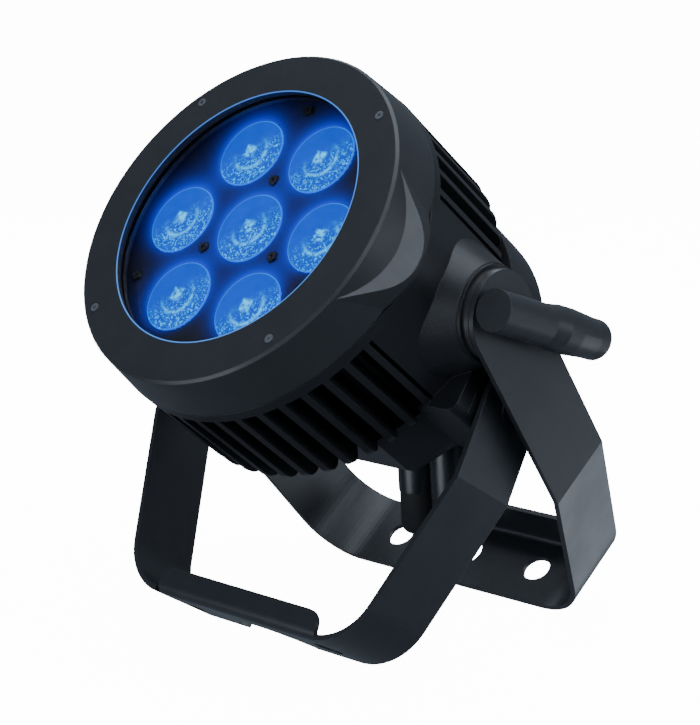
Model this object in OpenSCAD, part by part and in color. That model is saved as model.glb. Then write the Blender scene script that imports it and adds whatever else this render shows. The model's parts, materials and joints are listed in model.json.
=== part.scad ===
// LED par can: a finned round head with seven lenses, tilting between a rear
// bracket and a front bracket that fold out into a floor stand.
// X runs along the tilt axis, -Y is the way the light points, Z is up.
// The origin is on the floor, in the middle of the whole part.

/* [Head] */
// Diameter of the front ring at its face
ring_d = 203; // [196:1:204]
// Diameter of the visible glass
glass_d = 156; // [154:1:157]
// How far the head is tilted up from level, in degrees
head_tilt = 37.5; // [30:0.5:45]
// Depth of the front ring, from its face to the joint with the heat sink
ring_depth = 30; // [28:1:32]
// Distance from the face to the tilt axis
pivot_depth = 80; // [78:1:84]
// Height of the tilt axis above the centre of the head
pivot_rise = 2; // [0:0.5:4]
// Number of outer lenses around the middle one
outer_lenses = 6; // [5:1:6]
// Radius of the circle of outer lenses
lens_pitch_r = 52.6; // [51:0.1:53]
// Diameter of one lens
lens_d = 41.8; // [38:0.1:42]

/* [Heat sink] */
// Angle between neighbouring fins
fin_pitch = 7.5; // [7.5:7.5:15]
// Thickness of one fin
fin_t = 4; // [3:0.5:5]
// Radius over the fins
fin_r = 104.7; // [104:0.1:105.5]
// Radius of the core under the fins
core_r = 84; // [83:0.5:86]
// Depth behind the face at which the heat sink ends
sink_end = 107; // [105:1:108]
// Half width of the head over its two flat ears
ear_x = 110; // [109:0.5:111]

/* [Rear bracket] */
// Width of both bracket straps
strap_w = 48; // [44:1:50]
// Thickness of both bracket straps
strap_t = 3; // [2.5:0.1:3]
// Half width over the rear bracket at the tilt axis
rear_x = 130; // [129.5:0.1:131]
// Length from the tilt axis to the underside of the rear base
rear_drop = 225; // [220:1:230]
// How far the rear bracket leans back, in degrees
rear_lean = 36; // [32:0.5:38]
// Distance from the tilt axis to the bend in each rear arm
rear_kink = 118; // [110:1:125]
// Angle of that bend, in degrees
rear_kink_a = 15.6; // [12:0.1:17]

/* [Front bracket] */
// Half width over the front bracket at its bolts
front_x = 117; // [116.8:0.1:117.5]
// Length from the bolt axis to the underside of the front base
front_drop = 149; // [147:1:152]
// Distance from the bolt axis to the bend in each front arm
front_kink = 46.5; // [44:0.5:50]
// Angle of that bend, in degrees
front_kink_a = 17.3; // [15:0.1:18]
// Bolt axis behind the tilt axis, measured along the head
bolt_back = 54; // [52:0.5:56]
// Bolt axis below the tilt axis, measured across the head
bolt_down = 28.5; // [26:0.5:30]

/* [Lock levers] */
// Droop of the lever grips behind the tilt axis, in degrees
lever_droop = 17.6; // [10:0.1:25]
// Reach of the lever from the tilt axis to its tip
lever_reach = 67; // [65:1:80]

/* [Hidden] */
$fn = 96;

ring_r = ring_d / 2;
glass_r = glass_d / 2;
lens_r = lens_d / 2;
edge = 1.5;            // chamfer on the front ring
slip = 0.05;           // radial clearance where a shaft turns or a pin sits
free_gap = 0.3;        // gap between parts that move past each other
ring_wall = 5;
face_t = 3.3;          // thickness of the ring's front face
seal_t = 1.2;
flange_t = 3;          // thickness of the glass flange
flange_r = glass_r + 6;
flange_at = face_t + seal_t;
retainer_t = 2.5;
plate_at = 15;         // depth of the lens plate behind the face
plate_t = 1.5;
board_t = 2;
pad_t = 0.5;
chamber_r = 80;        // LED chamber in the front of the heat sink
floor_at = 39.5;       // depth of the heat sink's solid floor
floor_t = 8;
bay_r = 76;            // electronics bay behind that floor
rim_t = 6.5;
slot_at = ring_depth + rim_t;
fin_end = 107;
fin_round = 9;
first_fin = fin_pitch / 2;
ear_round = 40;
ear_mid = 1.8;         // half height of an ear's flat
seam = 0.4;            // gap that shows between the ring and the heat sink
boss_r = 26;
boss_x = 123;
stud_r = 6;
bolt_r = 4;
block_x = 112;         // outer face of the blocks that carry the front bracket
block_h = 43;
block_at = 97;
block_end = 150;
block_round = 6;
back_half = 112;       // half width of the rear housing's outline
back_top = 90;         // height of that outline above the head's centre
back_round = 9;
back_end = 150;
back_wall = 5;
back_flat = 70;        // flat underside of the rear housing below the head's centre
joint_angles = [20, 100, 125, 235, 260, 340];
joint_gap = 0.5;       // thickness left for the gasket between the two castings
panel_r = 81.5;
panel_t = 3;
panel_end = back_end + panel_t;
window_z = 26;
button_z = -2;
socket_z = -32;
bend_r = 6;
base_hole_x = 54;
base_hole_r = 8.5;
centre_hole_r = 10;
notch_r = 27;
rear_lip = 27;
front_lip = 15.5;
rear_lip_x = 65;
front_lip_x = 61;
relief = 1.5;
lever_x = 143.1;
lever_r = 11;
lever_front = 25;

bolt_y = pivot_depth + bolt_back;
bolt_z = pivot_rise - bolt_down;
bolt_rise = -bolt_back * sin(head_tilt) - bolt_down * cos(head_tilt);
bolt_run = bolt_back * cos(head_tilt) - bolt_down * sin(head_tilt);
axis_z = rear_drop * cos(rear_lean) + strap_w / 2 * sin(rear_lean);
bolt_height = axis_z + bolt_rise;
front_len = sqrt(front_drop * front_drop + strap_w * strap_w / 4);
front_lean = atan(strap_w / 2 / front_drop) + acos(bolt_height / front_len);
front_reach = pivot_depth * cos(head_tilt) + (ring_r - edge + pivot_rise) * sin(head_tilt);
rear_reach = rear_drop * sin(rear_lean) + strap_w / 2 * cos(rear_lean);
axis_y = (front_reach - rear_reach) / 2;
outer_angles = [for (i = [0:outer_lenses - 1]) 90 + i * 360 / outer_lenses];

// ---- frames -------------------------------------------------------------

// Head frame: Y is the depth behind the face, Z is up across the head
module head_frame() {
    translate([0, axis_y, axis_z]) rotate([-head_tilt, 0, 0]) translate([0, -pivot_depth, -pivot_rise])
        children();
}

// Places its child at a depth, a radius and an angle from the top, +Z backwards
module at(depth, r, a) {
    translate([r * sin(a), depth, r * cos(a)]) rotate([-90, 0, 0]) children();
}

module disc(depth, thick, r) {
    at(depth, 0, 0) cylinder(h = thick, r = r);
}

module cone(depth, thick, r1, r2) {
    at(depth, 0, 0) cylinder(h = thick, r1 = r1, r2 = r2);
}

module ring(depth, thick, r_out, r_in) {
    difference() {
        disc(depth, thick, r_out);
        disc(depth - 1, thick + 2, r_in);
    }
}

// A rod along X
module rod(x, y, z, len, r) {
    translate([x, y, z]) rotate([0, 90, 0]) cylinder(h = len, r = r);
}

module both_sides() {
    children();
    mirror([1, 0, 0]) children();
}

module at_lenses() {
    children(0);
    for (a = outer_angles) translate([lens_pitch_r * sin(a), 0, lens_pitch_r * cos(a)]) children(0);
}

module screw(depth, r, a, head_r, head_t, len) {
    at(depth, r, a) {
        difference() {
            cylinder(h = head_t, r = head_r, $fn = 32);
            translate([0, 0, -0.1]) cylinder(h = head_t * 0.6, r = head_r * 0.45, $fn = 6);
        }
        translate([0, 0, head_t]) cylinder(h = len, r = head_r * 0.5, $fn = 24);
    }
}

// ---- front ring and optics ------------------------------------------------

// Outline of one ear, seen from the front: flat in the middle, running into the round ring
module ear_outline(base) {
    cx = ear_x - ear_round;
    blend = atan2(ear_mid, cx) + acos((base - ear_round) / sqrt(cx * cx + ear_mid * ear_mid));
    foot = [(base - 0.6) * cos(blend), (base - 0.6) * sin(blend)];
    turn = [cx + ear_round * cos(blend), ear_mid + ear_round * sin(blend)];
    for (s = [0, 1]) mirror([0, s]) {
        polygon([[60, 0], [ear_x, 0], [ear_x, ear_mid], turn, foot, [60, foot[1]]]);
        translate([cx, ear_mid]) circle(r = ear_round);
    }
}

// An ear between two depths
module ear(from, to, base) {
    translate([0, to, 0]) rotate([90, 0, 0]) linear_extrude(to - from) ear_outline(base);
}

// The slanted cut that trims the front of an ear to a crescent
module ear_cut() {
    translate([102, 15, 0]) rotate([0, 0, 58]) translate([-100, -200, -60]) cube([200, 200, 120]);
}

// Screw columns inside the ring
module columns(depth, thick, r) {
    for (a = [45:90:315]) at(depth, 94, a) cylinder(h = thick, r = r);
}

module ring_body() {
    cone(0, edge, ring_r - edge, ring_r);
    cone(edge, ring_depth - seam - edge, ring_r, fin_r);
    both_sides() difference() {
        intersection() {
            ear(0, ring_depth - seam, ring_r - 0.5);
            cone(0, ring_depth, 99.7, 118.3);
        }
        ear_cut();
    }
}

gasket_r = 99.5;
gasket_w = 2;

module ring_gasket_shape(grow) {
    ring(ring_depth - 0.7 - grow, 1.4 + 2 * grow, gasket_r + grow, gasket_r - gasket_w - grow);
}

module front_ring() {
    color([0.06, 0.06, 0.065]) head_frame() difference() {
        union() {
            difference() {
                ring_body();
                disc(-1, face_t + 2, glass_r);
                disc(face_t, ring_depth, ring_r - ring_wall);
            }
            columns(face_t - 1, ring_depth - face_t + 1, 4);
        }
        columns(-1, 3, 2.6);
        columns(0, 40, 1.3);
        ring_gasket_shape(slip);
    }
}

module front_glass() {
    color([0.75, 0.85, 0.95, 0.3]) head_frame() {
        disc(0.1, flange_at - 0.1, glass_r - 0.2);
        disc(flange_at, flange_t, flange_r);
    }
}

module glass_seal() {
    color([0.03, 0.03, 0.03]) head_frame() ring(face_t, seal_t, flange_r, glass_r + 0.2);
}

module glass_retainer() {
    color([0.1, 0.1, 0.1]) head_frame() difference() {
        ring(flange_at + flange_t, retainer_t, ring_r - ring_wall - slip, glass_r + 0.5);
        columns(flange_at, 10, 4.1);
    }
}

module ring_screws() {
    color([0.72, 0.73, 0.75]) head_frame() for (a = [45:90:315]) screw(-0.3, 94, a, 2.5, 2.2, 34);
}

module ring_gasket() {
    color([0.03, 0.03, 0.03]) head_frame() ring_gasket_shape(0);
}

module lens_plate() {
    color([0.03, 0.03, 0.035]) head_frame() difference() {
        disc(plate_at, plate_t, ring_r - ring_wall - 0.3);
        at_lenses() disc(plate_at - 1, plate_t + 2, lens_r + 0.4);
        columns(plate_at - 1, 4, 4.4);
        for (a = [0, 120, 240]) for (r = [30, 75]) at(plate_at - 1, r, a) cylinder(h = 4, r = 1.35, $fn = 24);
    }
}

module plate_screws() {
    color([0.35, 0.35, 0.37]) head_frame()
        for (a = [0, 120, 240]) for (r = [30, 75]) screw(plate_at - 1.6, r, a, 2.6, 1.6, 6);
}

module plate_posts() {
    top = plate_at + plate_t;
    color([0.7, 0.7, 0.72]) head_frame() for (a = [0, 120, 240]) for (r = [30, 75]) difference() {
        at(top, r, a) cylinder(h = floor_at - pad_t - board_t - top, r = 4);
        at(top - 1, r, a) cylinder(h = 9, r = 1.35, $fn = 24);
    }
}

// Solid optic: a flat front disc on a cone that narrows towards its emitter
module lenses() {
    color([0.55, 0.75, 1, 0.6]) head_frame() at_lenses() {
        disc(plate_at - 0.5, 3, lens_r);
        cone(plate_at + 2.5, 17, lens_r - 1, 6);
    }
}

module lens_holders() {
    color([0.05, 0.05, 0.05]) head_frame() at_lenses() difference() {
        disc(plate_at + plate_t + 0.1, 20.3, lens_r + 2.2);
        disc(plate_at, 3, lens_r + 0.1);
        cone(plate_at + 2.5, 17.5, lens_r + 0.1, 6.6);
        disc(plate_at + 19, 10, 6.6);
    }
}

module led_board() {
    color([0.85, 0.86, 0.86]) head_frame() disc(floor_at - pad_t - board_t, board_t, chamber_r - 1);
}

module led_emitters() {
    top = floor_at - pad_t - board_t;
    color([0.9, 0.85, 0.45]) head_frame() at_lenses() {
        translate([-3.5, top - 1, -3.5]) cube([7, 1, 7]);
        disc(top - 2, 1, 2.6);
    }
}

module thermal_pad() {
    color([0.6, 0.62, 0.65]) head_frame() disc(floor_at - pad_t, pad_t, chamber_r - 2);
}

// ---- heat sink --------------------------------------------------------------

module fin_envelope() {
    run = fin_end - slot_at;
    at(slot_at, 0, 0) rotate_extrude() {
        square([fin_r - fin_round, run]);
        square([fin_r, run - fin_round]);
        translate([fin_r - fin_round, run - fin_round]) circle(r = fin_round);
    }
}

// Radial fins above and below the ears
module fins() {
    intersection() {
        fin_envelope();
        for (side = [0, 180]) for (a = [first_fin:fin_pitch:65]) for (s = [-1, 1])
            at(slot_at - 1, 0, 0) rotate([0, 0, side + s * a]) translate([-fin_t / 2, core_r - 4, 0])
                cube([fin_t, fin_r - core_r + 6, 80]);
    }
}

// Rounded section of the blocks that carry the front bracket
module block_outline() {
    w = block_x - 60;
    translate([60, bolt_z - block_h / 2 + block_round]) square([w, block_h - 2 * block_round]);
    translate([60, bolt_z - block_h / 2]) square([w - block_round, block_h]);
    for (s = [-1, 1]) translate([block_x - block_round, bolt_z + s * (block_h / 2 - block_round)])
        circle(r = block_round);
}

module block(from, to) {
    translate([0, to, 0]) rotate([90, 0, 0]) linear_extrude(to - from) block_outline();
}

// Round boss on the ear, on a foot that widens into the body
module pivot_boss() {
    rod(ear_x - 8, pivot_depth, pivot_rise, boss_x - ear_x + 8, boss_r);
    translate([88, pivot_depth, pivot_rise]) rotate([0, 90, 0]) cylinder(h = 33, r1 = 42, r2 = boss_r + 0.4);
}

module heat_sink() {
    color([0.07, 0.07, 0.075]) head_frame() difference() {
        union() {
            disc(ring_depth, rim_t, fin_r);
            disc(ring_depth, sink_end - ring_depth, core_r);
            fins();
            both_sides() {
                ear(ring_depth, sink_end, fin_r);
                block(block_at, sink_end);
                pivot_boss();
            }
        }
        disc(ring_depth - 1, floor_at - ring_depth + 1, chamber_r);
        disc(floor_at + floor_t, 80, bay_r);
        both_sides() rod(88, pivot_depth, pivot_rise, 40, stud_r + slip);
        translate([-130, sink_end, -130]) cube([260, 60, 260]);
        for (a = joint_angles) at(sink_end - 9, 80, a) cylinder(h = 12, r = 1.5, $fn = 24);
        columns(ring_depth - 1, 7, 1.3);
        ring_gasket_shape(slip);
    }
}

// ---- rear housing -----------------------------------------------------------

module rear_gasket() {
    color([0.03, 0.03, 0.03]) head_frame() difference() {
        ring(sink_end, joint_gap, core_r - 0.5, bay_r + 0.5);
        for (a = joint_angles) at(sink_end - 1, 80, a) cylinder(h = 3, r = 1.7, $fn = 24);
    }
}

// Outline of the rear housing, drawn in by some amount: a flattened arch on a flat base
module back_outline(inset) {
    a = back_half - inset;
    b = back_top - inset;
    low = back_flat - inset;
    side = [for (t = [-14:4:194]) [a * cos(t), b * sin(t)]];
    polygon(concat([[-62, -low], [62, -low]], side));
}

// One slice of the rear housing
module back_slice(depth, thick, inset) {
    translate([0, depth + thick, 0]) rotate([90, 0, 0]) linear_extrude(thick) back_outline(inset);
}

module back_body() {
    start = sink_end + joint_gap;
    hull() {
        back_slice(start, back_end - back_round - start, 0);
        back_slice(back_end - back_round, back_round * 0.7, back_round * 0.3);
        back_slice(back_end - 1, 1, back_round);
    }
    both_sides() block(start, back_end - 4);
}

module rear_housing() {
    start = sink_end + joint_gap;
    color([0.07, 0.07, 0.075]) head_frame() difference() {
        back_body();
        difference() {
            disc(start - 1, back_end - start - 3, bay_r);
            translate([-100, start - 2, -back_flat + back_wall - 60]) cube([200, 60, 60]);
        }
        difference() {
            disc(start, 60, 70);
            translate([-100, start - 2, -58 - 60]) cube([200, 70, 60]);
        }
        both_sides() rod(85, bolt_y, bolt_z, 40, bolt_r + slip);
        for (a = joint_angles) at(start - 1, 80, a) cylinder(h = 50, r = 1.7, $fn = 24);
        for (a = joint_angles) at(113, 80, a) cylinder(h = 50, r = 3.2, $fn = 32);
        for (a = [45:90:315]) at(back_end - 8, 77.5, a) cylinder(h = 12, r = 1.5, $fn = 24);
    }
}

module housing_screws() {
    color([0.6, 0.6, 0.62]) head_frame() for (a = joint_angles) {
        at(sink_end - 8, 80, a) cylinder(h = 14, r = 1.45, $fn = 24);
        at(113, 80, a) cylinder(h = 3, r = 2.8, $fn = 32);
    }
}

module power_supply() {
    color([0.7, 0.72, 0.74]) head_frame() {
        translate([-45, floor_at + floor_t, -30]) cube([90, 34, 60]);
        translate([-52, floor_at + floor_t, -8]) cube([104, 3, 16]);
    }
}

module board_standoffs() {
    color([0.8, 0.7, 0.35]) head_frame() for (x = [-56, 56]) for (z = [-34, 34])
        translate([x, floor_at + floor_t, z]) rotate([-90, 0, 0]) cylinder(h = 68, r = 3, $fn = 6);
}

module control_board() {
    top = floor_at + floor_t + 68;
    color([0.05, 0.3, 0.15]) head_frame() {
        translate([-60, top, -38]) cube([120, 1.6, 76]);
        for (x = [-40, -10, 22]) translate([x, top + 1.6, -18]) cube([16, 8, 12]);
        for (x = [-44, -20, 30]) translate([x, top + 1.6, 12]) rotate([-90, 0, 0]) cylinder(h = 12, r = 5);
    }
}

// The display's circuit board, its screen and the switches under the buttons
module display_board() {
    color([0.05, 0.25, 0.3]) head_frame() {
        translate([-42, back_end - 12, button_z - 8]) cube([84, 1.6, window_z - button_z + 22]);
        translate([-26, back_end - 10.4, window_z - 9]) cube([52, 8.4, 18]);
        for (x = [-30:20:30]) translate([x - 3, back_end - 10.4, button_z - 3]) cube([6, 7.8, 6]);
    }
}

module display_posts() {
    color([0.7, 0.7, 0.72]) head_frame() for (x = [-38, 38]) for (z = [button_z - 4, window_z + 10])
        translate([x, back_end - 10.4, z]) rotate([-90, 0, 0]) cylinder(h = 11.2, r = 2.5);
}

module panel_outline(r, flat) {
    difference() {
        circle(r = r);
        translate([-r, flat]) square([2 * r, r]);
    }
}

module panel_gasket() {
    color([0.03, 0.03, 0.03]) head_frame() at(back_end, 0, 0) difference() {
        linear_extrude(0.8) difference() {
            panel_outline(panel_r - 0.5, 63);
            panel_outline(71, 59);
        }
        for (a = [45:90:315]) rotate([0, 0, a]) translate([0, 77.5, -1]) cylinder(h = 3, r = 1.8, $fn = 24);
    }
}

socket_x = [-48, -16];
barrel_x = [34, 58];
barrel_z = -25;
barrel_lean = 48;      // how far the power barrels point down from the panel's normal
barrel_r = 11.5;
barrel_len = 51;
cap_len = 26;

module rear_panel() {
    color([0.08, 0.08, 0.085]) head_frame() difference() {
        at(back_end + 0.8, 0, 0) linear_extrude(panel_t) panel_outline(panel_r, 66);
        translate([-24, back_end, window_z - 8]) cube([48, 10, 16]);
        translate([-27, back_end + 2.6, window_z - 11]) cube([54, 10, 22]);
        for (x = [-30:20:30]) translate([x, back_end, button_z]) rotate([-90, 0, 0]) cylinder(h = 8, r = 4 + slip);
        for (x = socket_x) translate([x, back_end, socket_z]) rotate([-90, 0, 0]) cylinder(h = 8, r = 11);
        for (x = barrel_x) translate([x, back_end, barrel_z]) rotate([-90, 0, 0]) cylinder(h = 8, r = 6.2);
        for (a = [45:90:315]) at(back_end, 77.5, a) cylinder(h = 6, r = 1.7, $fn = 24);
        at(back_end, 62, 0) cylinder(h = 6, r = 4.1);
        for (x = [-9, 9]) at(back_end, 0, 0) translate([x + 34, -50, 0]) cylinder(h = 6, r = 2.5 + slip);
    }
}

module panel_screws() {
    color([0.6, 0.6, 0.62]) head_frame() for (a = [45:90:315]) at(back_end + 0.8 + panel_t, 77.5, a) {
        difference() {
            cylinder(h = 2, r = 3, $fn = 32);
            translate([0, 0, 1]) cylinder(h = 2, r = 1.4, $fn = 6);
        }
        translate([0, 0, -10]) cylinder(h = 10, r = 1.45, $fn = 24);
    }
}

module display_window() {
    color([0.1, 0.12, 0.14, 0.7]) head_frame()
        translate([-26.8, back_end + 2.6, window_z - 10.8]) cube([53.6, 1.4, 21.6]);
}

module push_button(x) {
    color([0.15, 0.15, 0.16]) head_frame() translate([x, back_end - 1.1, button_z]) rotate([-90, 0, 0]) {
        cylinder(h = 1.6, r = 5.5);
        cylinder(h = 9, r = 4);
    }
}

module menu_button() push_button(-30);

module down_button() push_button(-10);

module up_button() push_button(10);

module enter_button() push_button(30);

// Panel socket: a body behind the panel, a flange on it and an open mouth
module socket(x, tint, pins) {
    color(tint) head_frame() translate([x, 0, socket_z]) {
        difference() {
            union() {
                translate([0, back_end - 16, 0]) rotate([-90, 0, 0]) cylinder(h = 30, r = 10.8);
                translate([-13, back_end + 0.8 + panel_t, -13]) cube([26, 3, 26]);
            }
            translate([0, back_end - 2, 0]) rotate([-90, 0, 0]) cylinder(h = 30, r = 8.5);
        }
        for (i = [0:pins - 1]) translate([4 * sin(i * 360 / pins), back_end - 3, 4 * cos(i * 360 / pins)])
            rotate([-90, 0, 0]) cylinder(h = 4, r = 1, $fn = 24);
    }
}

// Along a power barrel: origin on the panel's outer face, +Z out of the mouth
module at_barrel(x) {
    translate([x, back_end + 0.8 + panel_t, barrel_z]) rotate([-90 - barrel_lean, 0, 0]) children();
}

// Angled power barrel: a flange and a tail in the panel, a round barrel pointing down
module power_barrel(x, tint) {
    color(tint) head_frame() {
        difference() {
            union() {
                difference() {
                    at_barrel(x) translate([0, 0, -20]) cylinder(h = 20 + barrel_len, r = barrel_r);
                    translate([x - 30, back_end - 40, barrel_z - 80]) cube([60, 40.8 + panel_t, 120]);
                }
                translate([x - 11, back_end + 0.8 + panel_t, barrel_z - 15]) cube([22, 3, 25]);
                translate([x, back_end - 12, barrel_z]) rotate([-90, 0, 0]) cylinder(h = 17, r = 6);
            }
            at_barrel(x) translate([0, 0, barrel_len - 14]) cylinder(h = 20, r = 8.5);
        }
        for (i = [0:2]) at_barrel(x) rotate([0, 0, 120 * i]) translate([0, 4, barrel_len - 15])
            cylinder(h = 6, r = 1, $fn = 24);
    }
}

// Rubber cap pushed into a power barrel
module barrel_cap(x) {
    color([0.04, 0.04, 0.04]) head_frame() at_barrel(x) {
        translate([0, 0, barrel_len - 7]) cylinder(h = 7, r = 8.4);
        translate([0, 0, barrel_len]) cylinder(h = cap_len - 6, r = barrel_r - 0.5);
        translate([0, 0, barrel_len + cap_len - 6]) rotate_extrude() {
            square([barrel_r - 6.5, 6]);
            intersection() {
                translate([barrel_r - 6.5, 0]) circle(r = 6);
                square([barrel_r, 6]);
            }
        }
    }
}

module power_inlet() power_barrel(barrel_x[0], [0.1, 0.1, 0.11]);

module power_outlet() power_barrel(barrel_x[1], [0.1, 0.1, 0.11]);

module power_inlet_cap() barrel_cap(barrel_x[0]);

module power_outlet_cap() barrel_cap(barrel_x[1]);

module data_inlet() socket(socket_x[0], [0.12, 0.12, 0.13], 5);

module data_outlet() socket(socket_x[1], [0.12, 0.12, 0.13], 5);

module vent_valve() {
    color([0.05, 0.05, 0.05]) head_frame() {
        at(back_end - 4, 62, 0) cylinder(h = 9, r = 4);
        at(back_end + 0.8 + panel_t, 62, 0) cylinder(h = 4, r = 7);
    }
}

// Wire loop for a safety cable, with both legs through the panel
module safety_eye() {
    top = back_end + 0.8 + panel_t + 8;
    color([0.7, 0.7, 0.72]) head_frame() translate([34, 0, 50]) {
        for (x = [-9, 9]) translate([x, back_end - 5, 0]) rotate([-90, 0, 0]) cylinder(h = top - back_end + 5, r = 2.5);
        translate([0, top, 0]) rotate_extrude(angle = 180) translate([9, 0]) circle(r = 2.5);
    }
}

// ---- tilt axis --------------------------------------------------------------

module tilt_frame() {
    translate([0, axis_y, axis_z]) children();
}

module friction_washer() {
    color([0.12, 0.12, 0.12]) tilt_frame() difference() {
        rod(boss_x, 0, 0, rear_x - strap_t - free_gap - boss_x, 24);
        rod(boss_x - 1, 0, 0, 10, stud_r + 0.4);
    }
}

module right_friction_washer() friction_washer();

module left_friction_washer() mirror([1, 0, 0]) friction_washer();

module lever_stud() {
    color([0.65, 0.65, 0.67]) tilt_frame() rod(90, 0, 0, 49, stud_r);
}

module right_lever_stud() lever_stud();

module left_lever_stud() mirror([1, 0, 0]) lever_stud();

// A bar across the axis: flat front end, thicker grip behind, round tip
module lock_lever() {
    swell_at = 16;
    swell_end = 27;
    neck_at = 38;
    neck_end = 56;
    grip_r = 12.4;
    tip_r = 11.2;
    tip_round = 4;
    color([0.08, 0.08, 0.085]) tilt_frame() difference() {
        union() {
            rod(rear_x + free_gap, 0, 0, lever_x - rear_x, 9);
            translate([lever_x, 0, 0]) rotate([-90 - lever_droop, 0, 0]) {
                translate([0, 0, -lever_front]) cylinder(h = lever_front + swell_at, r = lever_r);
                translate([0, 0, swell_at]) cylinder(h = swell_end - swell_at, r1 = lever_r, r2 = grip_r);
                translate([0, 0, swell_end]) cylinder(h = neck_at - swell_end, r = grip_r);
                translate([0, 0, neck_at]) cylinder(h = neck_end - neck_at, r1 = grip_r, r2 = tip_r);
                translate([0, 0, neck_end]) cylinder(h = lever_reach - neck_end - tip_round, r = tip_r);
                translate([0, 0, lever_reach - tip_round]) rotate_extrude() {
                    square([tip_r - tip_round, tip_round]);
                    intersection() {
                        translate([tip_r - tip_round, 0]) circle(r = tip_round);
                        square([tip_r, tip_round]);
                    }
                }
            }
        }
        rod(rear_x - 1, 0, 0, 11, stud_r + slip);
    }
}

module right_lock_lever() lock_lever();

module left_lock_lever() mirror([1, 0, 0]) lock_lever();

// ---- front bracket bolts ------------------------------------------------------

bolt_head_x = front_x + free_gap + 1.6;

module bracket_bolt() {
    color([0.3, 0.3, 0.31]) head_frame() {
        rod(92, bolt_y, bolt_z, bolt_head_x - 92, bolt_r);
        translate([bolt_head_x, bolt_y, bolt_z]) rotate([0, 90, 0]) cylinder(h = 5.3, r = 7.2, $fn = 6);
    }
}

module right_bracket_bolt() bracket_bolt();

module left_bracket_bolt() mirror([1, 0, 0]) bracket_bolt();

module bolt_washers() {
    color([0.25, 0.25, 0.26]) head_frame() difference() {
        union() {
            rod(front_x + free_gap, bolt_y, bolt_z, 1.6, 10.3);
            rod(block_x, bolt_y, bolt_z, front_x - strap_t - free_gap - block_x, 13);
        }
        rod(block_x - 1, bolt_y, bolt_z, 12, bolt_r + 0.4);
    }
}

module right_bolt_washers() bolt_washers();

module left_bolt_washers() mirror([1, 0, 0]) bolt_washers();

// ---- brackets -----------------------------------------------------------------

// Half of a bracket's outline, from the top of an arm to the middle of its base:
// a straight arm, an inward bend, a rounded corner and the base
function bracket_path(half, kink, ka, drop, corner, off) =
    let (reach = half * cos(ka) + kink * sin(ka) - off)
    let (arm_x = half - off)
    let (kink_s = (reach - arm_x * cos(ka)) / sin(ka))
    let (base_s = drop - off)
    let (foot_x = (reach - base_s * sin(ka)) / cos(ka))
    let (r = corner - off)
    let (run = r * tan((90 - ka) / 2))
    let (cx = foot_x - run)
    let (cs = base_s - r)
    concat([[arm_x, strap_w], [arm_x, -kink_s]],
        [for (i = [0:16]) let (a = ka + (90 - ka) * i / 16) [cx + r * cos(a), -cs - r * sin(a)]]);

function flip(path) = [for (i = [len(path) - 1:-1:0]) [-path[i][0], path[i][1]]];

function backward(path) = [for (i = [len(path) - 1:-1:0]) path[i]];

module bracket_outline(half, kink, ka, drop, corner) {
    outer = bracket_path(half, kink, ka, drop, corner, 0);
    inner = bracket_path(half, kink, ka, drop, corner, strap_t);
    polygon(concat(outer, flip(outer), backward(flip(inner)), backward(inner)));
}

// Turned-up edge along the +Y side of a base
module lip(drop, half, height, lip_round) {
    w2 = strap_w / 2;
    translate([-half, w2 - bend_r, bend_r - drop]) intersection() {
        difference() {
            rod(0, 0, 0, 2 * half, bend_r);
            rod(-1, 0, 0, 2 * half + 2, bend_r - strap_t);
        }
        translate([0, 0, -bend_r]) cube([2 * half, bend_r, bend_r]);
    }
    translate([0, w2, -drop]) rotate([90, 0, 0]) linear_extrude(strap_t) {
        translate([-half, bend_r]) square([2 * half, height - bend_r - lip_round]);
        translate([lip_round - half, bend_r]) square([2 * (half - lip_round), height - bend_r]);
        for (s = [-1, 1]) intersection() {
            translate([s * (half - lip_round), height - lip_round]) circle(r = lip_round);
            translate([-half, bend_r]) square([2 * half, height]);
        }
    }
}

// A strap bent into a bracket, hanging down from its own axis, lip towards +Y
module bracket(half, kink, ka, drop, corner, lip_mid, lip_half, lip_height, lip_round, hole_r) {
    w2 = strap_w / 2;
    difference() {
        intersection() {
            translate([0, w2, 0]) rotate([90, 0, 0]) linear_extrude(strap_w)
                bracket_outline(half, kink, ka, drop, corner);
            union() {
                translate([-150, -w2, -drop - 1]) cube([300, strap_w, drop + 1]);
                rod(-150, 0, 0, 300, w2);
            }
        }
        translate([lip_mid - lip_half - relief, w2 - bend_r, -drop - 1])
            cube([2 * (lip_half + relief), bend_r + 1, strap_t + 2]);
        rod(-150, 0, 0, 300, hole_r + slip);
        for (s = [-1, 1]) translate([s * base_hole_x, 0, -drop - 1]) cylinder(h = 10, r = base_hole_r);
    }
    translate([lip_mid, 0, 0]) lip(drop, lip_half, lip_height, lip_round);
}

module rear_yoke() {
    color([0.09, 0.09, 0.095]) tilt_frame() rotate([rear_lean, 0, 0]) difference() {
        bracket(rear_x, rear_kink, rear_kink_a, rear_drop, 38, 5, rear_lip_x, rear_lip, 4, stud_r);
        translate([0, 0, -rear_drop - 1]) cylinder(h = 10, r = centre_hole_r);
    }
}

module front_yoke() {
    color([0.09, 0.09, 0.095]) tilt_frame() translate([0, bolt_run, bolt_rise]) rotate([-front_lean, 0, 0])
        mirror([0, 1, 0]) difference() {
            bracket(front_x, front_kink, front_kink_a, front_drop, 36, 0, front_lip_x, front_lip, 9, bolt_r);
            translate([0, -strap_w / 2, -front_drop - 1]) cylinder(h = 10, r = notch_r);
        }
}

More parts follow.
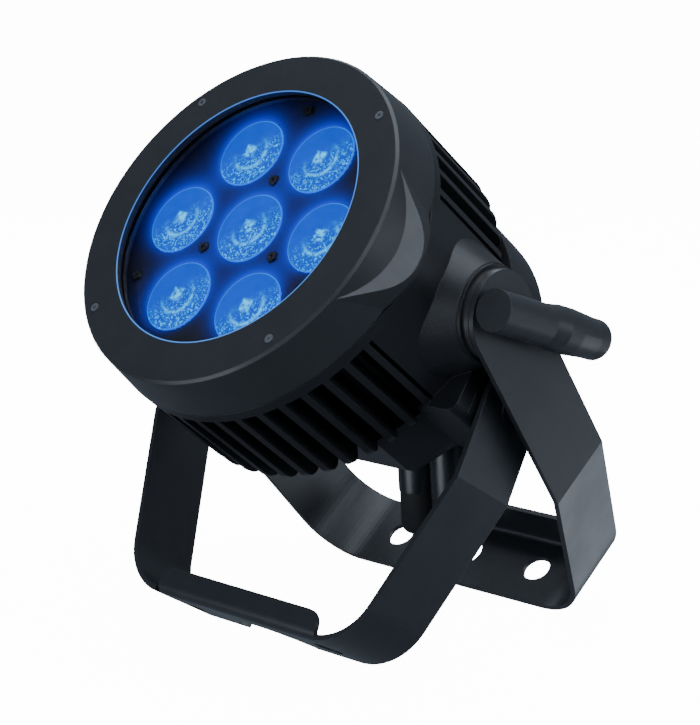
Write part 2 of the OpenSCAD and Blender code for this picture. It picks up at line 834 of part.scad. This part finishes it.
front_ring();
front_glass();
glass_seal();
glass_retainer();
ring_screws();
ring_gasket();
lens_plate();
plate_screws();
plate_posts();
lenses();
lens_holders();
led_board();
led_emitters();
thermal_pad();
heat_sink();
rear_gasket();
rear_housing();
housing_screws();
power_supply();
board_standoffs();
control_board();
display_board();
display_posts();
panel_gasket();
rear_panel();
panel_screws();
display_window();
menu_button();
down_button();
up_button();
enter_button();
power_inlet();
power_outlet();
power_inlet_cap();
power_outlet_cap();
data_inlet();
data_outlet();
vent_valve();
safety_eye();
right_friction_washer();
left_friction_washer();
right_lever_stud();
left_lever_stud();
right_lock_lever();
left_lock_lever();
right_bracket_bolt();
left_bracket_bolt();
right_bolt_washers();
left_bolt_washers();
rear_yoke();
front_yoke();
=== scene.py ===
"""Looks for the par can light: materials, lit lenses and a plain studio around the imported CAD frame."""
import json
import math
import bpy
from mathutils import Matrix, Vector


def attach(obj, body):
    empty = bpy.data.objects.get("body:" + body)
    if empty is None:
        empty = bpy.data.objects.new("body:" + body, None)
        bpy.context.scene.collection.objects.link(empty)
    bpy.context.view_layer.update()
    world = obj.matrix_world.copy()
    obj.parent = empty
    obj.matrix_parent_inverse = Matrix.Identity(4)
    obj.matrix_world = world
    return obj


# ---- camera ---------------------------------------------------------------
cam_data = bpy.data.cameras.new("camera")
cam = bpy.data.objects.new("camera", cam_data)
bpy.context.scene.collection.objects.link(cam)
bpy.context.scene.camera = cam
cam_data.lens = 102.0
cam_data.sensor_width = 36.0
cam_data.clip_start = 0.01
cam_data.clip_end = 50.0
cam.location = (0.7774, -0.82175, 0.3795)
cam.rotation_euler = Vector((-0.6686, 0.7170, -0.1972)).to_track_quat("-Z", "Y").to_euler()

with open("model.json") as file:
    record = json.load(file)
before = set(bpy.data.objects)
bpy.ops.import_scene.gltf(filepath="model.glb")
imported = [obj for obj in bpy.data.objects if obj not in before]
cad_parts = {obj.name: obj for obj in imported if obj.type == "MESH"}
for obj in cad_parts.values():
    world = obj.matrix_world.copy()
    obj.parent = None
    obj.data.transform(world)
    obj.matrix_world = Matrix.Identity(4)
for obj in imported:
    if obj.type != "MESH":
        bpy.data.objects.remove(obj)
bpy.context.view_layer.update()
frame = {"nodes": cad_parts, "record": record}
nodes = frame["nodes"]

# ---- the head's own frame: x across, d behind the face, u up ----------------
TILT = math.radians(37.5)
AXIS = Vector((0.0, -13.053, 196.136))
PIVOT_D, PIVOT_U = 80.0, 2.0
BACK = Vector((0.0, math.cos(TILT), -math.sin(TILT)))
UP = Vector((0.0, math.sin(TILT), math.cos(TILT)))
RIGHT = Vector((1.0, 0.0, 0.0))


def head(x, d, u):
    return (AXIS + RIGHT * x + BACK * (d - PIVOT_D) + UP * (u - PIVOT_U)) * 0.001


LENS_R = 20.9
PITCH_R = 52.6
LENS_DEPTH = 14.2       # middle of a lens front behind the face
PLATE_DEPTH = 14.93     # just in front of the lens plate
PLATE_R = 94.0
PLATE_SCREWS = [(rr * math.cos(math.radians(deg)), rr * math.sin(math.radians(deg)))
                for rr in (30.0, 75.0) for deg in (90, 210, 330)]
PLATE_SCREW_R = 2.7
RING_SCREWS = [(PLATE_R * math.cos(math.radians(deg)), PLATE_R * math.sin(math.radians(deg)))
               for deg in (45, 135, 225, 315)]
RING_SCREW_R = 5.0
UNDER_LENS = 1.2        # how far the plate light reaches in under a lens edge
LIGHT_LEAN = (0.72, 0.69)   # the way the lens light leans over the plate: across and up
LENS_AT = [(0.0, 0.0)] + [(PITCH_R * math.cos(math.radians(60 * i)), PITCH_R * math.sin(math.radians(60 * i)))
                          for i in range(6)]


# ---- shader helpers ---------------------------------------------------------
class Shader:
    def __init__(self, name):
        self.m = bpy.data.materials.new(name)
        self.m.use_nodes = True
        self.t = self.m.node_tree
        self.p = self.t.nodes["Principled BSDF"]

    def node(self, kind, **values):
        n = self.t.nodes.new(kind)
        for k, v in values.items():
            setattr(n, k, v)
        return n

    def link(self, a, b):
        self.t.links.new(a, b)

    def math(self, op, a, b=None, clamp=False):
        n = self.node("ShaderNodeMath", operation=op, use_clamp=clamp)
        for i, v in enumerate((a, b)):
            if v is None:
                continue
            if isinstance(v, (int, float)):
                n.inputs[i].default_value = v
            else:
                self.link(v, n.inputs[i])
        return n.outputs[0]

    def above(self, value, start, slope):
        """0 up to start, then rising to 1."""
        return self.math("MULTIPLY", self.math("SUBTRACT", value, start), slope, clamp=True)

    def below(self, value, end, slope):
        """1 far under end, falling to 0 there."""
        return self.math("MULTIPLY", self.math("SUBTRACT", end, value), slope, clamp=True)

    def noise(self, scale, detail=3.0, rough=0.6):
        tc = self.node("ShaderNodeTexCoord")
        n = self.node("ShaderNodeTexNoise")
        n.inputs["Scale"].default_value = scale
        n.inputs["Detail"].default_value = detail
        n.inputs["Roughness"].default_value = rough
        self.link(tc.outputs["Object"], n.inputs["Vector"])
        return n.outputs["Fac"]

    def spread(self, fac, low, high):
        n = self.node("ShaderNodeMapRange")
        n.inputs["To Min"].default_value = low
        n.inputs["To Max"].default_value = high
        self.link(fac, n.inputs["Value"])
        return n.outputs[0]

    def tint(self, fac, a, b):
        n = self.node("ShaderNodeMix", data_type="RGBA")
        n.inputs["A"].default_value = (*a, 1)
        n.inputs["B"].default_value = (*b, 1)
        self.link(fac, n.inputs["Factor"])
        return n.outputs["Result"]

    def bump(self, height, strength, distance=0.0002, edge=0.0):
        n = self.node("ShaderNodeBump")
        n.inputs["Strength"].default_value = strength
        n.inputs["Distance"].default_value = distance
        self.link(height, n.inputs["Height"])
        if edge:
            b = self.node("ShaderNodeBevel", samples=4)
            b.inputs["Radius"].default_value = edge
            self.link(b.outputs[0], n.inputs["Normal"])
        self.link(n.outputs[0], self.p.inputs["Normal"])


def solid(name, color, rough, metallic=0.0, spec=0.5, grain=0.0, grain_scale=900.0, edge=0.0, vary=0.12,
          coat=0.0):
    """A plain finish with uneven roughness, uneven shade and a fine surface grain."""
    s = Shader(name)
    s.p.inputs["Base Color"].default_value = (*color, 1)
    s.p.inputs["Roughness"].default_value = rough
    s.p.inputs["Metallic"].default_value = metallic
    s.p.inputs["Specular IOR Level"].default_value = spec
    s.p.inputs["Coat Weight"].default_value = coat
    big = s.noise(28.0, 4.0)
    s.link(s.spread(big, max(0.02, rough - vary), min(1.0, rough + vary)), s.p.inputs["Roughness"])
    light = [min(1.0, c * 1.25 + 0.002) for c in color]
    dark = [c * 0.8 for c in color]
    s.link(s.tint(s.noise(60.0, 5.0), dark, light), s.p.inputs["Base Color"])
    if grain:
        s.bump(s.noise(grain_scale, 2.0), grain, edge=edge)
    return s.m


MATS = {
    "ring_paint": solid("ring_paint", (0.0130, 0.0142, 0.0158), 0.42, grain=0.22, grain_scale=1400,
                        edge=0.0006),
    "cast_paint": solid("cast_paint", (0.0040, 0.0045, 0.0053), 0.44, spec=0.4, grain=0.35, grain_scale=1100,
                        edge=0.0008),
    "bracket_paint": solid("bracket_paint", (0.0125, 0.0140, 0.0158), 0.36, grain=0.15, grain_scale=1300,
                           edge=0.0004),
    "black_rubber": solid("black_rubber", (0.008, 0.008, 0.008), 0.75, grain=0.2),
    "black_plastic": solid("black_plastic", (0.005, 0.005, 0.007), 0.38, grain=0.1),
    "lever_plastic": solid("lever_plastic", (0.0145, 0.0155, 0.0172), 0.36, grain=0.25, grain_scale=1500,
                           edge=0.0005),
    "bright_screw": solid("bright_screw", (0.40, 0.40, 0.42), 0.30, metallic=1.0, grain=0.05),
    "dark_screw": solid("dark_screw", (0.10, 0.10, 0.11), 0.36, metallic=1.0, grain=0.08, edge=0.0003),
    "board_white": solid("board_white", (0.72, 0.73, 0.72), 0.45, grain=0.05),
    "pad_grey": solid("pad_grey", (0.42, 0.44, 0.46), 0.8, grain=0.2),
    "supply_case": solid("supply_case", (0.62, 0.63, 0.65), 0.4, metallic=1.0, grain=0.08),
    "brass_post": solid("brass_post", (0.72, 0.52, 0.22), 0.3, metallic=1.0, grain=0.05),
    "board_green": solid("board_green", (0.02, 0.16, 0.06), 0.4, grain=0.1),
    "panel_black": solid("panel_black", (0.018, 0.018, 0.02), 0.55, grain=0.15, edge=0.0004),
    "window_dark": solid("window_dark", (0.010, 0.012, 0.015), 0.08, vary=0.03, coat=1.0),
    "button_grey": solid("button_grey", (0.09, 0.09, 0.095), 0.5, grain=0.1, edge=0.0005),
    "data_black": solid("data_black", (0.010, 0.011, 0.013), 0.34, grain=0.05, edge=0.0005),
    "steel_wire": solid("steel_wire", (0.52, 0.52, 0.54), 0.3, metallic=1.0, grain=0.1),
    "washer_black": solid("washer_black", (0.016, 0.016, 0.016), 0.35, grain=0.1, edge=0.0003),
}


def glow(name, color, strength):
    s = Shader(name)
    s.p.inputs["Base Color"].default_value = (*[c * 0.4 for c in color], 1)
    s.p.inputs["Roughness"].default_value = 0.3
    s.p.inputs["Emission Color"].default_value = (*color, 1)
    s.p.inputs["Emission Strength"].default_value = strength
    return s.m


MATS["emitter"] = glow("emitter", (0.1, 0.45, 1.0), 6.0)
MATS["lens_optic"] = glow("lens_optic", (0.0, 0.12, 1.0), 1.2)


def clear_glass():
    """Clear glass without refraction: it mirrors at shallow angles and lets the rest straight through."""
    s = Shader("clear_glass")
    s.p.inputs["Base Color"].default_value = (0.006, 0.008, 0.012, 1)
    s.p.inputs["Specular IOR Level"].default_value = 0.5
    s.p.inputs["Alpha"].default_value = 0.08
    s.link(s.spread(s.noise(9.0, 2.0), 0.01, 0.06), s.p.inputs["Roughness"])
    return s.m


MATS["clear_glass"] = clear_glass()

slot_of = {p["node"]: p["material_slot"] for p in frame["record"]["subparts"]}
for name, obj in nodes.items():
    obj.data.materials.clear()
    obj.data.materials.append(MATS[slot_of[name]])


# ---- mesh helper -------------------------------------------------------------
def smooth_object(name, verts, faces, material):
    me = bpy.data.meshes.new(name)
    me.from_pydata([tuple(v) for v in verts], [], faces)
    me.polygons.foreach_set("use_smooth", [True] * len(me.polygons))
    me.materials.append(material)
    me.update()
    o = bpy.data.objects.new(name, me)
    bpy.context.scene.collection.objects.link(o)
    return o


def mesh(name, verts, faces, material, body):
    """A smooth surface piece that rides on a body."""
    o = smooth_object(name, verts, faces, material)
    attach(o, body)
    return o


def store_spill(o, values):
    at = o.data.attributes.new("spill", "FLOAT", "POINT")
    at.data.foreach_set("value", values)


# ---- lens fronts: a shallow crown with a fine ripple --------------------------
def lens_face_material():
    """Lit optic: painted glints fixed over its lower side, a painted streak and edge ring, and a square of
    light in the middle.
    """
    s = Shader("lens_face")
    uv = s.node("ShaderNodeUVMap", uv_map="lens")
    xyz = s.node("ShaderNodeSeparateXYZ")
    s.link(uv.outputs[0], xyz.inputs[0])
    u = s.math("SUBTRACT", s.math("MULTIPLY", xyz.outputs[0], 2.0), 1.0)
    v = s.math("SUBTRACT", s.math("MULTIPLY", xyz.outputs[1], 2.0), 1.0)
    # painted highlights: the glints lean to the lower right of every lens, a side fixed in the head's frame
    side = s.math("ADD", s.math("MULTIPLY", u, 0.66), s.math("MULTIPLY", v, -0.75))
    radius = s.math("SQRT", s.math("ADD", s.math("POWER", u, 2.0), s.math("POWER", v, 2.0)))
    near = s.math("MULTIPLY", s.math("ADD", side, 0.30), 1.7, clamp=True)
    cells = s.node("ShaderNodeTexVoronoi", feature="F1")
    cells.inputs["Scale"].default_value = 900.0
    tc = s.node("ShaderNodeTexCoord")
    s.link(tc.outputs["Object"], cells.inputs["Vector"])
    patch = s.noise(420.0, 5.0, 0.75)
    painted_glint_flecks = s.above(patch, 0.44, 8.0)
    grit = s.below(cells.outputs["Distance"], 0.62, 3.0)
    lit = s.math("MULTIPLY", s.math("MULTIPLY", near, painted_glint_flecks), grit)
    # painted highlight: a curved streak part of the way out, on the near (lower right) side
    off_streak = s.math("ABSOLUTE", s.math("SUBTRACT", radius, 0.5))
    streak = s.math("SUBTRACT", 1.0, s.math("MULTIPLY", off_streak, 11.0), clamp=True)
    streak = s.math("MULTIPLY", s.math("MULTIPLY", streak, near), s.above(patch, 0.36, 6.0))
    # the square of light over the emitter
    du = s.math("ABSOLUTE", s.math("ADD", u, 0.05))
    dv = s.math("ABSOLUTE", s.math("ADD", v, -0.04))
    outside = s.above(s.math("MAXIMUM", du, dv), 0.13, 12.0)
    square = s.math("SUBTRACT", 1.0, outside, clamp=True)
    square = s.math("MULTIPLY", square, s.above(s.noise(420.0, 3.0), 0.36, 5.0))
    # painted highlight: a thin bright ring at the lens edge
    rim = s.above(radius, 0.955, 30.0)
    inner = s.math("MAXIMUM", lit, streak)
    bright = s.math("MAXIMUM", inner, s.math("MAXIMUM", square, s.math("MULTIPLY", rim, 0.5)), clamp=True)
    color = s.tint(bright, (0.0, 0.10, 0.92), (0.02, 0.70, 1.35))
    s.link(color, s.p.inputs["Emission Color"])
    s.p.inputs["Base Color"].default_value = (0.0, 0.02, 0.15, 1)
    s.p.inputs["Roughness"].default_value = 0.25
    s.p.inputs["Specular IOR Level"].default_value = 0.2
    shade = s.spread(s.noise(90.0, 2.0), 0.75, 1.1)
    gain = s.math("ADD", s.math("MULTIPLY", bright, 0.75), 1.0)
    s.link(s.math("MULTIPLY", gain, shade), s.p.inputs["Emission Strength"])
    return s.m


def lens_faces():
    rings, around = 16, 72
    ripple, wave, crown = 0.12, 2 * math.pi / 1.6, 0.5
    verts, faces, uvs = [], [], []
    for cx, cu in LENS_AT:
        base = len(verts)
        verts.append(head(cx, LENS_DEPTH, cu))
        uvs.append((0.5, 0.5))
        for i in range(1, rings + 1):
            r = (LENS_R - 0.3) * i / rings
            for j in range(around):
                a = 2 * math.pi * (j + 0.5 * (i % 2)) / around
                x, y = r * math.cos(a), r * math.sin(a)
                pillow = ripple * math.cos(wave * x) * math.cos(wave * y)
                depth = LENS_DEPTH - crown * (1 - (r / LENS_R) ** 2) + (pillow if i < rings else 0.0)
                verts.append(head(cx + x, depth, cu + y))
                uvs.append((0.5 + 0.5 * x / LENS_R, 0.5 + 0.5 * y / LENS_R))
        for j in range(around):
            faces.append((base, base + 1 + j, base + 1 + (j + 1) % around))
        for i in range(1, rings):
            for j in range(around):
                a = base + 1 + (i - 1) * around + j
                b = base + 1 + (i - 1) * around + (j + 1) % around
                faces.append((a, a + around, b + around, b))
    o = mesh("lens_fronts", verts, faces, lens_face_material(), "head")
    layer = o.data.uv_layers.new(name="lens")
    for loop in o.data.loops:
        layer.data[loop.index].uv = uvs[loop.vertex_index]


lens_faces()


# ---- blue light spilled on the lens plate --------------------------------------
def spill_material(name, strength):
    """Light lying on a dark surface: the stored spill value sets how blue and how strong it is."""
    s = Shader(name)
    at = s.node("ShaderNodeAttribute", attribute_name="spill")
    s.p.inputs["Base Color"].default_value = (0.012, 0.012, 0.015, 1)
    s.p.inputs["Roughness"].default_value = 0.35
    color = s.tint(at.outputs["Fac"], (0.0, 0.012, 0.42), (0.0, 0.045, 0.80))
    s.link(color, s.p.inputs["Emission Color"])
    eased = s.math("POWER", at.outputs["Fac"], 1.5)
    s.link(s.math("MULTIPLY", eased, strength), s.p.inputs["Emission Strength"])
    return s.m


def spill_at(x, u):
    """How much lens light lies at a point of the plate: most beside each rim, above and to the left."""
    total = 0.0
    for cx, cu in LENS_AT:
        dx, du = x - cx, u - cu
        r = math.hypot(dx, du)
        lean = 0.5 + 0.5 * (-LIGHT_LEAN[0] * dx + LIGHT_LEAN[1] * du) / max(r, 1e-6)
        total += math.exp(-max(0.0, r - LENS_R) / (2.5 + 5.5 * lean)) * (0.35 + 0.65 * lean)
    return min(1.0, total)


def plate_spill():
    verts, faces, values = [], [], []
    rings, around = 84, 200
    for i in range(rings + 1):
        r = PLATE_R * i / rings
        for j in range(around):
            a = 2 * math.pi * j / around
            x, u = r * math.cos(a), r * math.sin(a)
            verts.append(head(x, PLATE_DEPTH, u))
            values.append(spill_at(x, u))

    def open_at(k):
        """Whether a point is clear of the lenses, the plate screws and the ring screws."""
        r = PLATE_R * (k // around) / rings
        a = 2 * math.pi * (k % around) / around
        x, u = r * math.cos(a), r * math.sin(a)

        def clear(centres, radius):
            return all(math.hypot(x - cx, u - cu) >= radius for cx, cu in centres)

        return (clear(LENS_AT, LENS_R - UNDER_LENS) and clear(PLATE_SCREWS, PLATE_SCREW_R)
                and clear(RING_SCREWS, RING_SCREW_R))

    for i in range(rings):
        for j in range(around):
            near, far, k = i * around, (i + 1) * around, (j + 1) % around
            q = (near + j, far + j, far + k, near + k)
            if all(open_at(v) for v in q):
                faces.append(q if i else q[1:])
    o = mesh("plate_face", verts, faces, spill_material("plate_face", 1.6), "head")
    store_spill(o, values)


plate_spill()


def edge_light():
    """The thin lit line that the edge of the glass shows."""
    verts, faces, values = [], [], []
    around = 240
    prof = [(77.25, 0.12), (77.55, -0.12), (77.95, -0.12), (78.05, 0.12)]
    for j in range(around):
        a = 2 * math.pi * j / around
        lean = 0.5 + 0.5 * (LIGHT_LEAN[0] * math.cos(a) - LIGHT_LEAN[1] * math.sin(a))
        for r, d in prof:
            verts.append(head(r * math.cos(a), d, r * math.sin(a)))
            values.append(0.55 + 0.45 * lean)
    n = len(prof)
    for j in range(around):
        for i in range(n - 1):
            a, b = j * n + i, ((j + 1) % around) * n + i
            faces.append((a, b, b + 1, a + 1))
    s = Shader("glass_edge")
    at = s.node("ShaderNodeAttribute", attribute_name="spill")
    s.p.inputs["Base Color"].default_value = (0.02, 0.05, 0.1, 1)
    s.p.inputs["Roughness"].default_value = 0.3
    s.link(s.tint(at.outputs["Fac"], (0.0, 0.05, 0.6), (0.07, 0.32, 1.0)), s.p.inputs["Emission Color"])
    s.p.inputs["Emission Strength"].default_value = 0.9
    o = mesh("glass_edge_line", verts, faces, s.m, "head")
    store_spill(o, values)


edge_light()


# ---- floor, backdrop and light -----------------------------------------------
def stage():
    """A white floor that curves up into a wall and a dome all round."""
    s = Shader("studio_white")
    s.p.inputs["Base Color"].default_value = (0.86, 0.86, 0.86, 1)
    s.p.inputs["Roughness"].default_value = 0.9
    s.p.inputs["Specular IOR Level"].default_value = 0.1
    s.p.inputs["Emission Color"].default_value = (1.0, 1.0, 1.0, 1)
    s.p.inputs["Emission Strength"].default_value = 14.0
    around = 64
    floor_r, bowl_r, wall_top, dome = 2.5, 1.5, 3.0, 2.0
    wall_r = floor_r + bowl_r
    turns = [math.radians(90 * k / 16) for k in range(17)]
    prof = [(floor_r + bowl_r * math.sin(t), bowl_r - bowl_r * math.cos(t)) for t in turns]
    prof += [(wall_r, wall_top)]
    prof += [(wall_r * math.cos(t), wall_top + dome * math.sin(t)) for t in turns[1:-1]]
    verts, faces = [(0.0, 0.0, 0.0)], []
    for r, z in prof:
        for j in range(around):
            a = 2 * math.pi * j / around
            verts.append((r * math.cos(a), r * math.sin(a), z))
    for j in range(around):
        k = (j + 1) % around
        faces.append((0, 1 + j, 1 + k))
        for i in range(len(prof) - 1):
            low, high = 1 + i * around, 1 + (i + 1) * around
            faces.append((low + j, high + j, high + k, low + k))
    o = smooth_object("floor", verts, faces, s.m)
    # the bright sweep doesn't wash light back onto the dark object
    o.visible_diffuse = False
    o.visible_glossy = False
    o.visible_shadow = False


stage()


def softbox(name, at, look, size_x, size_y, power, color=(0.88, 0.97, 1.1)):
    d = bpy.data.lights.new(name, "AREA")
    d.shape = "RECTANGLE"
    d.size = size_x
    d.size_y = size_y
    d.energy = power
    d.color = color
    o = bpy.data.objects.new(name, d)
    bpy.context.scene.collection.objects.link(o)
    o.location = at
    o.rotation_euler = (Vector(look) - Vector(at)).to_track_quat("-Z", "Y").to_euler()


MID = (0.0, 0.0, 0.18)
softbox("key_right", (1.5, -0.35, 0.9), MID, 1.0, 1.0, 15)
softbox("low_back", (0.44, 1.13, -0.43), (0.118, 0.09, 0.06), 0.7, 0.6, 2.1)
softbox("right", (1.6, 0.9, 0.25), (0.12, 0.0, 0.15), 0.8, 0.8, 3.6)
softbox("front_under", (-0.4, -1.5, -0.35), (0.0, -0.05, 0.2), 0.9, 0.6, 8)
softbox("top", (0.1, 0.2, 1.9), MID, 1.8, 1.8, 30)
softbox("left_rear", (-1.4, 0.9, 0.9), MID, 1.2, 1.2, 8)
softbox("front_low", (0.2, -1.8, 0.5), MID, 1.4, 0.8, 6)

world = bpy.data.worlds.new("studio")
bpy.context.scene.world = world
world.use_nodes = True
world.node_tree.nodes["Background"].inputs[0].default_value = (0.8, 0.96, 1.2, 1)
world.node_tree.nodes["Background"].inputs[1].default_value = 0.22
